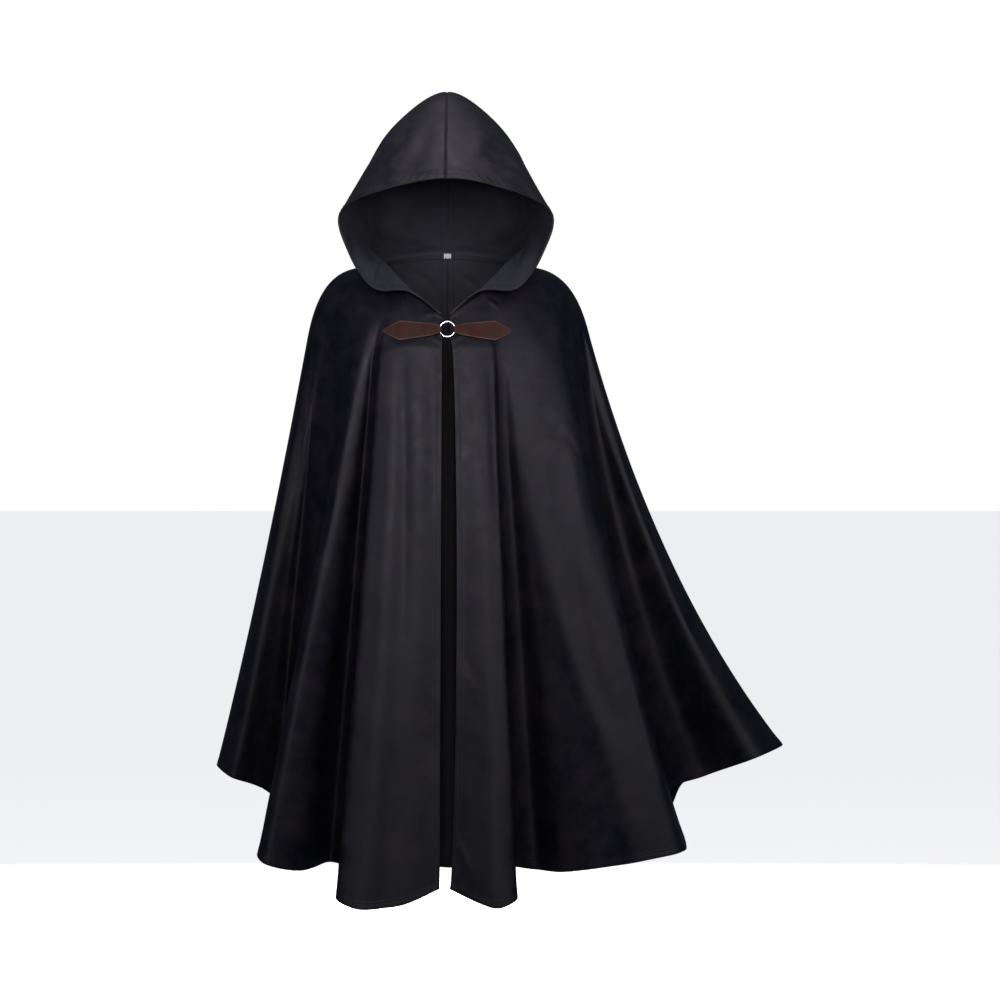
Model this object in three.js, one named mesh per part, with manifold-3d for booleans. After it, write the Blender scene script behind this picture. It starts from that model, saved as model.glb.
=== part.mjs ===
// A hooded cloak that keeps the shape it has when worn, with nobody in it.
// Millimetres, +Z up, the front faces -Y. Left and right are the wearer's: +X is the wearer's left.
// The origin is the middle of the neck opening, level with the sides of the neck.
import * as THREE from 'three';
import { mergeVertices } from 'three/addons/utils/BufferGeometryUtils.js';
import Module from 'manifold-3d';

// Driving dimensions
const CLOTH = 2;              // thickness of the cloth
const SEAM_GAP = 0.3;         // clear space at each seam of the panels
const NECK_GAP = 0.7;         // clear space at the curved neck seam
const SHOULDER_WIDTH = 460;   // across the points where the cloth leaves the shoulders
const SHOULDER_DROP = 28;     // those points below the neck
const CHEST_DEPTH = 146;      // where the cloth leaves the chest, in front of the neck
const CHEST_DROP = 150;       // and below it
const BACK_DEPTH = 132;       // where it leaves the shoulder blades
const BACK_DROP = 118;
const YOKE_ROUND = 62;        // how far the cloth rounds over at the shoulders
const YOKE_SHARE = 0.62;      // and the most of the way from the neck that it may take
const NECK_WIDTH = 252;       // across the neck seam
const NECK_BACK = { y: 95, z: 26 };
const NECK_FRONT = { y: -124, z: -106 };
const COLUMNS = { front: 34, back: 30 };   // cells round each panel
const YOKE_ROWS = { flat: 2, round: 6 };   // cells down the panel, before the straight fall
const FALL_ROWS = 7;

const LEATHER = 3;            // thickness of the tabs
const REST = 0.45;            // clear space under what lies on a panel
const RING = { x: 3.5, z: -127, radius: 13.3, wire: 1.8, sides: 12, cells: 40 };
const TAB = { cells: 14, across: 4, droop: 3, lift: 3.6, lifted: 40 };
const EYE = { length: 11, wall: 2.4, play: 0.3, sides: 24 };   // the tube of a tab, round the ring
// Half widths of a tab, from the ring to its point; out is the distance from the middle of the ring.
const TAB_OUTLINE = [
  { out: 15, half: 5.5 },
  { out: 24, half: 9.2 },
  { out: 36, half: 11.2 },
  { out: 84, half: 17 },
  { out: 116, half: 0.6 },
];
const LABEL = { width: 13, drop: 9, top: 3, thick: 0.8, across: 4, down: 3 };

// Folds of the cloak, one row for each ridge or valley, from the front edge round to the centre back.
// turn: where the fold starts on the shoulder line, in degrees from centre front;
// x, y, z: where it meets the hem; bow: how far it hangs inside the straight line at its middle.
const RIGHT_FOLDS = [
  { turn: 1.0, x: -9, y: -232, z: -1100, bow: 0 },
  { turn: 7, x: -66, y: -248, z: -1124, bow: 0 },
  { turn: 13, x: -104, y: -256, z: -1130, bow: 0 },
  { turn: 20, x: -150, y: -265, z: -1131, bow: 0 },
  { turn: 26, x: -186, y: -250, z: -1115, bow: 0 },
  { turn: 28.5, x: -168, y: -134, z: -1082, bow: 0 },
  { turn: 30.5, x: -206, y: -64, z: -1071, bow: 0 },
  { turn: 32, x: -254, y: -142, z: -1078, bow: 0 },
  { turn: 34, x: -312, y: -176, z: -1064, bow: 0 },
  { turn: 36.5, x: -329, y: -150, z: -1047, bow: 0 },
  { turn: 46, x: -296, y: -50, z: -995, bow: 0 },
  { turn: 60, x: -300, y: 6, z: -965, bow: -12 },
  { turn: 70, x: -340, y: -14, z: -940, bow: 4 },
  { turn: 80, x: -385, y: -42, z: -922, bow: 4 },
  { turn: 91, x: -414, y: 15, z: -905, bow: 8 },
  { turn: 103, x: -385, y: 88, z: -925, bow: 10 },
  { turn: 115, x: -312, y: 104, z: -975, bow: 6 },
  { turn: 126, x: -300, y: 188, z: -1035, bow: 4 },
  { turn: 136, x: -226, y: 172, z: -1062, bow: 0 },
  { turn: 147, x: -172, y: 250, z: -1092, bow: 0 },
  { turn: 158, x: -100, y: 208, z: -1102, bow: 0 },
  { turn: 169, x: -46, y: 246, z: -1112, bow: 0 },
  { turn: 180, x: 0, y: 226, z: -1113, bow: 0 },
];
const LEFT_FOLDS = [
  { turn: 1.8, x: 9, y: -232, z: -1100, bow: -4 },
  { turn: 9, x: 60, y: -254, z: -1122, bow: 0 },
  { turn: 14, x: 94, y: -262, z: -1130, bow: 0 },
  { turn: 18, x: 125, y: -248, z: -1115, bow: 0 },
  { turn: 20.5, x: 106, y: -134, z: -1074, bow: 0 },
  { turn: 22.5, x: 158, y: -78, z: -1083, bow: 0 },
  { turn: 25.5, x: 208, y: -128, z: -1082, bow: 0 },
  { turn: 31, x: 312, y: -172, z: -1064, bow: 0 },
  { turn: 41, x: 368, y: -184, z: -1052, bow: 4 },
  { turn: 53, x: 411, y: -180, z: -1042, bow: 8 },
  { turn: 66, x: 424, y: -112, z: -1033, bow: 22 },
  { turn: 71, x: 398, y: -40, z: -950, bow: 24 },
  { turn: 76, x: 464, y: 24, z: -926, bow: 32 },
  { turn: 82, x: 550, y: -50, z: -888, bow: 40 },
  { turn: 91, x: 606, y: 20, z: -869, bow: 54 },
  { turn: 103, x: 556, y: 88, z: -888, bow: 42 },
  { turn: 115, x: 440, y: 112, z: -938, bow: 24 },
  { turn: 126, x: 400, y: 208, z: -1014, bow: 14 },
  { turn: 136, x: 300, y: 182, z: -1052, bow: 6 },
  { turn: 147, x: 238, y: 258, z: -1082, bow: 0 },
  { turn: 158, x: 158, y: 210, z: -1098, bow: 0 },
  { turn: 169, x: 78, y: 250, z: -1110, bow: 0 },
  { turn: 180, x: 0, y: 226, z: -1113, bow: 0 },
];

// Hood, one row for each arch, from the face edge back to the last one before the nape. Every arch
// starts on the neck seam and climbs to the crown seam; at the face it first rolls out like a lapel.
// turn: where it leaves the neck seam; then [out, y, z] at its lapel, jaw, cheek, temple, brow and crown.
const ARCHES = [
  { turn: 2, lapel: [62, -136, -60], jaw: [128, -112, -53], cheek: [173, -88, 12],
    temple: [186, -98, 84], brow: [101, -144, 121], crown: [0, -160, 137] },
  { turn: 26, lapel: [80, -122, -38], jaw: [134, -84, -8], cheek: [172, -62, 40],
    temple: [166, -62, 122], brow: [89, -92, 188], crown: [0, -104, 211] },
  { turn: 54, lapel: [112, -84, -2], jaw: [144, -48, 20], cheek: [166, -24, 76],
    temple: [143, -18, 168], brow: [74, -30, 243], crown: [0, -36, 270] },
  { turn: 84, lapel: [130, -22, 20], jaw: [146, -4, 44], cheek: [156, 14, 102],
    temple: [121, 30, 210], brow: [63, 38, 280], crown: [0, 40, 312] },
  { turn: 116, lapel: [122, 46, 30], jaw: [136, 58, 62], cheek: [138, 78, 124],
    temple: [100, 108, 218], brow: [50, 120, 268], crown: [0, 124, 290] },
  { turn: 148, lapel: [80, 92, 36], jaw: [100, 112, 66], cheek: [100, 136, 116],
    temple: [74, 164, 172], brow: [38, 178, 200], crown: [0, 182, 210] },
];
const ARCH_STATIONS = ['lapel', 'jaw', 'cheek', 'temple', 'brow', 'crown'];
const HOOD_CELLS = { back: 15, up: 20 };

const FINISHES = {
  cloth: { color: 0x2c2a2f, roughness: 0.75, metalness: 0 },
  leather: { color: 0x4c3029, roughness: 0.55, metalness: 0 },
  metal: { color: 0xc9c9cc, roughness: 0.2, metalness: 1 },
  label: { color: 0xe6e4df, roughness: 0.8, metalness: 0 },
};
const SHOULDER_SHAPE = 0.9;   // squares off the oval of the shoulder line
const DROP_SHAPE = 1.5;       // keeps the drop near the centre front and back
const VEE_SHAPE = { across: 0.85, along: 1.1, drop: 0.9 };   // the V of the neck seam
const NECK_EASE = 0.35;       // how far the folds spread out again towards the neck seam
const STEP = 1e-4;            // for slopes worked out by difference
const FALL_START = 1.5;       // how far down the fall the yoke's rounding ends, in roundings
const ROUND_EASE = 0.36;      // fullness of that rounding
const FALL_MIDDLE = 0.62;     // how far down the fall its bow is centred
const SIDE_SEAM_TURN = 91;
const SIDE_TURN = 90;         // degrees from the centre front to the side, and to the centre back
const BACK_TURN = 180;
const MITRE = { down: 0.3, up: 0.05, back: 0.98, least: 0.5, turn: 1 };   // where the neck mitre is read
const SEARCH = { share: 0.5, shares: 50, high: 0.2, low: 2.4, downs: 22, steps: 12, pace: 0.7, least: 0.1 };
const HALVINGS = 40;
const SAME_POINT = 1e-3;      // vertices nearer than this are one

const vec = (x, y, z) => new THREE.Vector3(x, y, z);
const mix = (a, b, t) => a + (b - a) * t;
const radians = THREE.MathUtils.degToRad;

// A smooth curve through values given at rising places: Hermite pieces with the slopes of the neighbours.
function smooth(places, values, at) {
  const last = places.length - 1;
  let i = 0;
  while (i < last - 1 && at > places[i + 1]) i += 1;
  const slope = (k) => {
    const before = Math.max(k - 1, 0);
    const after = Math.min(k + 1, last);
    return (values[after] - values[before]) / (places[after] - places[before]);
  };
  const span = places[i + 1] - places[i];
  const t = (at - places[i]) / span;
  const rise = t * t * (3 - 2 * t);
  return mix(values[i], values[i + 1], rise)
    + span * t * (1 - t) * ((1 - t) * slope(i) - t * slope(i + 1));
}

// The oval on which the cloth leaves the shoulders, chest and back, at a turn from centre front.
function shoulderPoint(turn, side) {
  const front = turn < SIDE_TURN;
  const along = Math.cos(radians(turn));
  const across = Math.sin(radians(Math.min(turn, BACK_TURN)));
  const depth = front ? -CHEST_DEPTH : BACK_DEPTH;
  const drop = front ? CHEST_DROP : BACK_DROP;
  return vec(
    side * (SHOULDER_WIDTH / 2) * Math.pow(Math.max(across, 0), SHOULDER_SHAPE),
    depth * Math.abs(along),
    -mix(SHOULDER_DROP, drop, Math.pow(Math.abs(along), DROP_SHAPE)),
  );
}

// The neck seam at a turn from centre front: a round back and a V at the front.
function neckPoint(turn, side) {
  const across = Math.sin(radians(turn));
  const along = Math.cos(radians(turn));
  const half = NECK_WIDTH / 2;
  if (turn >= SIDE_TURN) {
    return vec(side * half * across, -NECK_BACK.y * along, NECK_BACK.z * along * along);
  }
  const out = Math.pow(across, VEE_SHAPE.across);
  return vec(
    side * half * out,
    NECK_FRONT.y * Math.pow(along, VEE_SHAPE.along),
    NECK_FRONT.z * Math.pow(1 - out, VEE_SHAPE.drop),
  );
}

// Reads one side's folds as functions of the share of the hem from the front edge (0) to centre back (1).
function readFolds(rows, side) {
  const run = [0];
  rows.slice(1).forEach((row, i) => {
    run.push(run[i] + Math.hypot(row.x - rows[i].x, row.y - rows[i].y, row.z - rows[i].z));
  });
  const places = run.map((length) => length / run[run.length - 1]);
  const read = (name, share) => smooth(places, rows.map((row) => row[name]), share);
  const seam = places[rows.findIndex((row) => row.turn === SIDE_SEAM_TURN)];
  const turn = (share) => Math.min(Math.max(read('turn', share), 0), BACK_TURN);
  const neckTurn = (share) => mix(turn(share), BACK_TURN * share, NECK_EASE * Math.sin(Math.PI * share));
  return { side, read, seam, turn, neckTurn };
}

// A point of the cloak's mid surface. share runs round the hem; down is 0 at the neck seam,
// 1 where the yoke starts to round over, 2 where the straight fall starts and 3 at the hem.
function cloakPoint(folds, share, down) {
  const corner = shoulderPoint(folds.turn(share), folds.side);
  const neck = neckPoint(folds.neckTurn(share), folds.side);
  const hem = vec(folds.read('x', share), folds.read('y', share), folds.read('z', share));
  const yoke = corner.clone().sub(neck);
  const round = Math.min(YOKE_ROUND, YOKE_SHARE * yoke.length());
  yoke.normalize();
  const start = corner.clone().addScaledVector(yoke, -round);
  if (down <= 1) return neck.lerp(start, down);
  const outward = hem.clone().sub(corner).setZ(0).normalize();
  const bow = folds.read('bow', share);
  const middle = corner.clone().lerp(hem, FALL_MIDDLE).addScaledVector(outward, -2 * bow);
  const fall = (t) => corner.clone().lerp(middle, t).lerp(middle.clone().lerp(hem, t), t);
  const first = FALL_START * round / hem.distanceTo(corner);
  if (down >= 2) return fall(mix(first, 1, down - 2));
  const end = fall(first);
  const slope = middle.sub(corner).normalize();
  const ease = ROUND_EASE * start.distanceTo(end);
  const curve = new THREE.CubicBezierCurve3(
    start,
    start.clone().addScaledVector(yoke, ease),
    end.clone().addScaledVector(slope, -ease),
    end,
  );
  return curve.getPoint(down - 1);
}

// A point of one half of the hood's mid surface: back runs from the face edge (0) to the nape (1),
// up from the neck seam (0) to the crown seam (1).
const ARCH_PLACES = [...ARCHES.keys(), ARCHES.length].map((i) => i / ARCHES.length);
const ARCH_TURNS = [...ARCHES.map((arch) => arch.turn), BACK_TURN];
const hoodTurn = (back) => Math.min(smooth(ARCH_PLACES, ARCH_TURNS, back), BACK_TURN);
function hoodPoint(side, back, up) {
  const nape = vec(0, NECK_BACK.y, NECK_BACK.z);
  const stations = [neckPoint(hoodTurn(back), 1)];
  for (const name of ARCH_STATIONS) {
    stations.push(vec(...[0, 1, 2].map((axis) => smooth(
      ARCH_PLACES,
      [...ARCHES.map((arch) => arch[name][axis]), nape.getComponent(axis)],
      back,
    ))));
  }
  const brow = stations[stations.length - 2];
  stations.push(vec(-brow.x, brow.y, brow.z));   // the other half's brow, so the crown is round
  const steps = [...stations.keys()].map((i) => i / ARCH_STATIONS.length);
  const [x, y, z] = [0, 1, 2].map((axis) => smooth(steps, stations.map((p) => p.getComponent(axis)), up));
  return vec(side * x, y, z);
}

// The place where a rising function reaches a value, between 0 and 1, by halving.
function solveRising(rising, value) {
  let [low, high] = [0, 1];
  for (let i = 0; i < HALVINGS; i += 1) {
    const half = (low + high) / 2;
    if (rising(half) < value) low = half; else high = half;
  }
  return (low + high) / 2;
}

// The mitre of the neck seam at a turn: across the wall, and from the hood to the cloak.
function neckMitre(folds, turn) {
  const share = solveRising(folds.neckTurn, turn);
  const back = Math.min(solveRising(hoodTurn, turn), MITRE.back);
  const point = neckPoint(turn, folds.side);
  const tangent = neckPoint(Math.min(turn + MITRE.turn, BACK_TURN), folds.side)
    .sub(neckPoint(Math.max(turn - MITRE.turn, 0), folds.side)).normalize();
  const onHood = neckPoint(hoodTurn(back), folds.side);
  const square = (v) => v.addScaledVector(tangent, -v.dot(tangent)).normalize();
  const toCloak = square(cloakPoint(folds, share, MITRE.down).sub(point));
  const toHood = square(hoodPoint(folds.side, back, MITRE.up).sub(onHood));
  const across = toCloak.clone().add(toHood);
  const along = toCloak.clone().sub(toHood);
  const stretch = 1 / Math.max(along.length() / 2, MITRE.least);
  if (turn > BACK_TURN - SAME_POINT) [across, along].forEach((v) => v.setX(0));
  return { across: across.normalize().multiplyScalar(stretch), along: along.normalize() };
}

// The unit normal of a surface given as point(a, b), from its slopes.
function normalOf(point, a, b, side) {
  const low = (v) => Math.max(v - STEP, 0);
  const high = (v, most) => Math.min(v + STEP, most);
  const alongA = point(high(a, 1), b).sub(point(low(a), b));
  const alongB = point(a, high(b, 3)).sub(point(a, low(b)));
  return alongA.cross(alongB).multiplyScalar(side).normalize();
}

// Rows of numbers from first to last, both included.
const spread = (first, last, cells) => [...Array(cells + 1).keys()].map((i) => mix(first, last, i / cells));

// A closed wall between two grids of points, outer and inner, with its edges closed.
function wallGeometry(outer, inner) {
  const columns = outer.length;
  const rows = outer[0].length;
  const points = [...outer.flat(), ...inner.flat()];
  const index = (layer, i, j) => (layer * columns + i) * rows + j;
  const faces = [];
  const quad = (a, b, c, d) => faces.push(a, b, c, a, c, d);
  for (let i = 0; i < columns - 1; i += 1) {
    for (let j = 0; j < rows - 1; j += 1) {
      quad(index(0, i, j), index(0, i + 1, j), index(0, i + 1, j + 1), index(0, i, j + 1));
      quad(index(1, i, j), index(1, i, j + 1), index(1, i + 1, j + 1), index(1, i + 1, j));
    }
    quad(index(0, i, 0), index(1, i, 0), index(1, i + 1, 0), index(0, i + 1, 0));
    quad(index(0, i, rows - 1), index(0, i + 1, rows - 1), index(1, i + 1, rows - 1), index(1, i, rows - 1));
  }
  for (let j = 0; j < rows - 1; j += 1) {
    quad(index(0, 0, j), index(0, 0, j + 1), index(1, 0, j + 1), index(1, 0, j));
    quad(index(0, columns - 1, j), index(1, columns - 1, j),
      index(1, columns - 1, j + 1), index(0, columns - 1, j + 1));
  }
  return closedGeometry(points, faces);
}

// Shared vertices merged, faces without area dropped, and all faces turned outwards.
function closedGeometry(points, faces) {
  const raw = new THREE.BufferGeometry();
  raw.setAttribute('position', new THREE.Float32BufferAttribute(points.flatMap((p) => p.toArray()), 3));
  raw.setIndex(faces);
  const merged = mergeVertices(raw, SAME_POINT);
  const old = merged.index.array;
  const kept = [];
  for (let i = 0; i < old.length; i += 3) {
    const [a, b, c] = [old[i], old[i + 1], old[i + 2]];
    if (a !== b && b !== c && a !== c) kept.push(a, b, c);
  }
  if (signedVolume(merged.attributes.position, kept) < 0) {
    for (let i = 0; i < kept.length; i += 3) [kept[i + 1], kept[i + 2]] = [kept[i + 2], kept[i + 1]];
  }
  merged.setIndex(kept);
  return merged;
}

function signedVolume(position, faces) {
  const [a, b, c] = [vec(), vec(), vec()];
  let sum = 0;
  for (let i = 0; i < faces.length; i += 3) {
    a.fromBufferAttribute(position, faces[i]);
    b.fromBufferAttribute(position, faces[i + 1]);
    c.fromBufferAttribute(position, faces[i + 2]);
    sum += a.dot(b.cross(c)) / 6;
  }
  return sum;
}

// One panel of the cloak, between two shares of the hem. At the side seam and the centre back it stops
// half a seam gap short; at the neck seam it is mitred against the hood.
function panelGeometry(folds, first, last, cells) {
  const downs = [
    ...spread(0, 1, YOKE_ROWS.flat).slice(0, -1),
    ...spread(1, 2, YOKE_ROWS.round).slice(0, -1),
    ...spread(2, 3, FALL_ROWS),
  ];
  const point = (share, down) => cloakPoint(folds, share, down);
  const outer = [];
  const inner = [];
  for (const share of spread(first, last, cells)) {
    const mitre = neckMitre(folds, folds.neckTurn(share));
    const inset = share === folds.seam ? Math.sign(first + last - 2 * share) : 0;
    const pairs = downs.map((down) => {
      const middle = point(share, down);
      let across = normalOf(point, share, down, -folds.side);
      if (share === 1) {
        across.setX(0).normalize();
        middle.x = folds.side * SEAM_GAP / 2;
      }
      if (inset) {
        const round = point(share + STEP, down).sub(point(share - STEP, down)).normalize();
        middle.addScaledVector(round, inset * SEAM_GAP / 2);
      }
      if (down === 0) {
        middle.addScaledVector(mitre.along, NECK_GAP / 2);
        across = mitre.across;
      }
      return [1, -1].map((way) => middle.clone().addScaledVector(across, way * CLOTH / 2));
    });
    outer.push(pairs.map((pair) => pair[0]));
    inner.push(pairs.map((pair) => pair[1]));
  }
  return wallGeometry(outer, inner);
}

// One half of the hood, stopping half a seam gap short of the crown seam and mitred at the neck.
function hoodGeometry(folds) {
  const point = (back, up) => hoodPoint(folds.side, back, Math.min(up, 1));
  const outer = [];
  const inner = [];
  for (const back of spread(0, 1, HOOD_CELLS.back)) {
    const mitre = neckMitre(folds, hoodTurn(back));
    const pairs = spread(0, 1, HOOD_CELLS.up).map((up) => {
      const middle = point(back, up);
      let across = back === 1 ? mitre.across.clone() : normalOf(point, back, up, folds.side);
      if (up === 1 || back === 1) {
        across.setX(0).normalize();
        middle.x = folds.side * SEAM_GAP / 2;
      }
      if (up === 0 || back === 1) {
        middle.addScaledVector(mitre.along, -NECK_GAP / 2);
        across = mitre.across;
      }
      return [1, -1].map((way) => middle.clone().addScaledVector(across, way * CLOTH / 2));
    });
    outer.push(pairs.map((pair) => pair[0]));
    inner.push(pairs.map((pair) => pair[1]));
  }
  return wallGeometry(outer, inner);
}

// The share and down of the cloak's point that lies at x, z on the front, by Newton's steps.
function placeOnFront(folds, x, z) {
  let [share, down, best] = [0, 0, Infinity];
  for (const s of spread(0, SEARCH.share, SEARCH.shares)) {
    for (const d of spread(SEARCH.high, SEARCH.low, SEARCH.downs)) {
      const p = cloakPoint(folds, s, d);
      const miss = Math.hypot(p.x - x, p.z - z);
      if (miss < best) [share, down, best] = [s, d, miss];
    }
  }
  for (let i = 0; i < SEARCH.steps; i += 1) {
    const p = cloakPoint(folds, share, down);
    const s = cloakPoint(folds, share + STEP, down).sub(p).divideScalar(STEP);
    const d = cloakPoint(folds, share, down + STEP).sub(p).divideScalar(STEP);
    const det = s.x * d.z - s.z * d.x;
    const [missX, missZ] = [x - p.x, z - p.z];
    share = Math.max(share + SEARCH.pace * (missX * d.z - missZ * d.x) / det, 0);
    down = Math.max(down + SEARCH.pace * (s.x * missZ - s.z * missX) / det, SEARCH.least);
  }
  return [share, down];
}

// A manifold solid of a geometry, moved by a matrix if one is given.
function solidOf(geometry, matrix) {
  const bare = (geometry.index ? geometry.toNonIndexed() : geometry.clone());
  const only = new THREE.BufferGeometry().setAttribute('position', bare.getAttribute('position'));
  if (matrix) only.applyMatrix4(matrix);
  const merged = mergeVertices(only, SAME_POINT);
  return new wasm.Manifold(new wasm.Mesh({
    numProp: 3,
    vertProperties: merged.attributes.position.array,
    triVerts: new Uint32Array(merged.index.array),
  }));
}

function geometryOf(solid) {
  const mesh = solid.getMesh();
  const geometry = new THREE.BufferGeometry();
  const points = new Float32Array(mesh.numVert * 3);
  for (let i = 0; i < mesh.numVert; i += 1) {
    points.set(mesh.vertProperties.subarray(i * mesh.numProp, i * mesh.numProp + 3), i * 3);
  }
  geometry.setAttribute('position', new THREE.BufferAttribute(points, 3));
  geometry.setIndex([...mesh.triVerts]);
  return geometry;
}

const ringTurn = new THREE.Matrix4().makeRotationX(Math.PI / 2);
const ringPlace = (y) => new THREE.Matrix4().makeTranslation(RING.x, y, RING.z).multiply(ringTurn);
const torus = (wire) => new THREE.TorusGeometry(RING.radius, wire, RING.sides, RING.cells);

// A pointed leather tab that lies on the front panel and ends in an eye round the ring.
function tabGeometry(folds, ringY) {
  const { side } = folds;
  const outs = TAB_OUTLINE.map((row) => row.out);
  const [first, last] = [outs[0], outs[outs.length - 1]];
  const half = (out) => {
    const i = Math.max(outs.findIndex((o) => o >= out), 1);
    const [a, b] = [TAB_OUTLINE[i - 1], TAB_OUTLINE[i]];
    return mix(a.half, b.half, (out - a.out) / (b.out - a.out));
  };
  const point = (share, down) => cloakPoint(folds, share, down);
  const outer = [];
  const inner = [];
  const stops = [...new Set([...spread(first, last, TAB.cells), ...outs])].sort((a, b) => a - b);
  for (const out of stops) {
    const raised = Math.pow(Math.max(1 - (out - first) / (TAB.lifted - first), 0), 2);
    const pairs = spread(-1, 1, TAB.across).map((across) => {
      const x = RING.x + side * out;
      const z = RING.z + across * half(out) - TAB.droop * (out - first) / last;
      const [share, down] = placeOnFront(folds, x, z);
      const normal = normalOf(point, share, down, -side);
      const under = CLOTH / 2 + REST;
      const low = point(share, down).addScaledVector(normal, under);
      const top = point(share, down).addScaledVector(normal, under + LEATHER);
      [low, top].forEach((p, i) => {
        p.y = mix(p.y, ringY + (i ? -LEATHER : LEATHER) / 2, raised);
      });
      return [top, low];
    });
    outer.push(pairs.map((pair) => pair[0]));
    inner.push(pairs.map((pair) => pair[1]));
  }
  const eyeRadius = RING.wire + EYE.play + EYE.wall;
  const eye = new THREE.CylinderGeometry(eyeRadius, eyeRadius, EYE.length, EYE.sides);
  const eyePlace = new THREE.Matrix4()
    .makeTranslation(RING.x + side * RING.radius, ringY, RING.z).multiply(ringTurn);
  return geometryOf(solidOf(wallGeometry(outer, inner))
    .add(solidOf(eye, eyePlace))
    .subtract(solidOf(torus(RING.wire + EYE.play), ringPlace(ringY))));
}

// The label hangs from the neck seam inside the centre back, moved in from the cloth.
function labelGeometry(folds) {
  const outer = [];
  const inner = [];
  const yoke = cloakPoint(folds, 1, 1).sub(cloakPoint(folds, 1, 0)).length();
  for (const across of spread(-0.5, 0.5, LABEL.across)) {
    const pairs = spread(LABEL.top, LABEL.top + LABEL.drop, LABEL.down).map((down) => {
      const { y, z } = cloakPoint(folds, 1, down / yoke);
      const near = y - CLOTH / 2 - REST;
      return [near, near - LABEL.thick].map((depth) => vec(across * LABEL.width, depth, z));
    });
    outer.push(pairs.map((pair) => pair[1]));
    inner.push(pairs.map((pair) => pair[0]));
  }
  return wallGeometry(outer, inner);
}

const wasm = await Module();
wasm.setup();

const rightFolds = readFolds(RIGHT_FOLDS, -1);
const leftFolds = readFolds(LEFT_FOLDS, 1);

// The ring stands just off the cloth at the neck, with room behind it for the eyes of the tabs.
const [edgeShare, edgeDown] = placeOnFront(leftFolds, RING.x + RING.radius, RING.z);
const clothY = cloakPoint(leftFolds, edgeShare, edgeDown).y - CLOTH / 2;
const ringY = clothY - TAB.lift - RING.wire - EYE.play - EYE.wall;

const cloth = new THREE.MeshStandardMaterial(FINISHES.cloth);
const leather = new THREE.MeshStandardMaterial(FINISHES.leather);
const metal = new THREE.MeshStandardMaterial(FINISHES.metal);
const label = new THREE.MeshStandardMaterial(FINISHES.label);

const cloak = new THREE.Group();
function addPiece(name, geometry, material) {
  geometry.computeVertexNormals();
  const mesh = new THREE.Mesh(geometry, material);
  mesh.name = name;
  cloak.add(mesh);
}

for (const [word, folds] of [['right', rightFolds], ['left', leftFolds]]) {
  addPiece(`front_${word}`, panelGeometry(folds, 0, folds.seam, COLUMNS.front), cloth);
  addPiece(`back_${word}`, panelGeometry(folds, folds.seam, 1, COLUMNS.back), cloth);
  addPiece(`hood_${word}`, hoodGeometry(folds), cloth);
  addPiece(`tab_${word}`, tabGeometry(folds, ringY), leather);
}
addPiece('ring', torus(RING.wire).applyMatrix4(ringPlace(ringY)), metal);
addPiece('neck_label', labelGeometry(leftFolds), label);

export default cloak;
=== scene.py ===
import bmesh
import bpy
import numpy as np
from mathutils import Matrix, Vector


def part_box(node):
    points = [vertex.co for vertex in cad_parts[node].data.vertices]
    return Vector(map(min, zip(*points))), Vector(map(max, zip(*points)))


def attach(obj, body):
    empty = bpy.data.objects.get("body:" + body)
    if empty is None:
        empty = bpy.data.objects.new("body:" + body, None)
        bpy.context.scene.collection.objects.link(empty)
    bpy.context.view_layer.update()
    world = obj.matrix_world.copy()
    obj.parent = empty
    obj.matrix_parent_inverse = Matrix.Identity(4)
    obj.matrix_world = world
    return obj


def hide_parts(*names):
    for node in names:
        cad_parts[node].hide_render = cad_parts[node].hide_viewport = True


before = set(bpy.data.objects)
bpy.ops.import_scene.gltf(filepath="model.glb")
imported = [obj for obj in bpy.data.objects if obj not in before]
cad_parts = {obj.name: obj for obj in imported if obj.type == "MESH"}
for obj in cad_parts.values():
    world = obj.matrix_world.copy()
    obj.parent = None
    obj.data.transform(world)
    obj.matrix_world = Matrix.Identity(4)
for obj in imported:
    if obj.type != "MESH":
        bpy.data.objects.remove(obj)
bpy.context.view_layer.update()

# Front panels: one length of black wool coating each side, from the neck seam over the chest to the hem.
# They hang open in front, and are cut wide so that they fall in deep folds from the points of the shoulders.
# The front edges and hem are turned in and topstitched; the side seams are pressed open inside.
MM = 0.001
CLOTH = 2.0
SHOULDER_WIDTH, SHOULDER_DROP = 460.0, 28.0
CHEST_DEPTH, CHEST_DROP = 146.0, 150.0
BACK_DEPTH, BACK_DROP = 132.0, 118.0
YOKE_ROUND, YOKE_SHARE = 62.0, 0.62
NECK_WIDTH = 252.0
NECK_BACK_Y, NECK_BACK_Z = 95.0, 26.0
NECK_FRONT_Y, NECK_FRONT_Z = -124.0, -106.0
SHOULDER_SHAPE, DROP_SHAPE = 0.9, 1.5
VEE_ACROSS, VEE_ALONG, VEE_DROP = 0.85, 1.1, 0.9
NECK_EASE, FALL_START, ROUND_EASE, FALL_MIDDLE = 0.35, 1.5, 0.36, 0.62
SIDE_SEAM_TURN = 91.0

# Folds, from the front edge round to the centre back: turn on the shoulder line, then x, y, z at the hem
# and how far the fold hangs inside the straight line at its middle.
RIGHT_FOLDS = np.array([
    (1.0, -9, -232, -1100, 0), (7, -66, -248, -1124, 0), (13, -104, -256, -1130, 0),
    (20, -150, -265, -1131, 0), (26, -186, -250, -1115, 0), (28.5, -168, -134, -1082, 0),
    (30.5, -206, -64, -1071, 0), (32, -254, -142, -1078, 0), (34, -312, -176, -1064, 0),
    (36.5, -329, -150, -1047, 0), (46, -296, -50, -995, 0), (60, -300, 6, -965, -12),
    (70, -340, -14, -940, 4), (80, -385, -42, -922, 4), (91, -414, 15, -905, 8),
    (103, -385, 88, -925, 10), (115, -312, 104, -975, 6), (126, -300, 188, -1035, 4),
    (136, -226, 172, -1062, 0), (147, -172, 250, -1092, 0), (158, -100, 208, -1102, 0),
    (169, -46, 246, -1112, 0), (180, 0, 226, -1113, 0),
], float)
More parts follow.
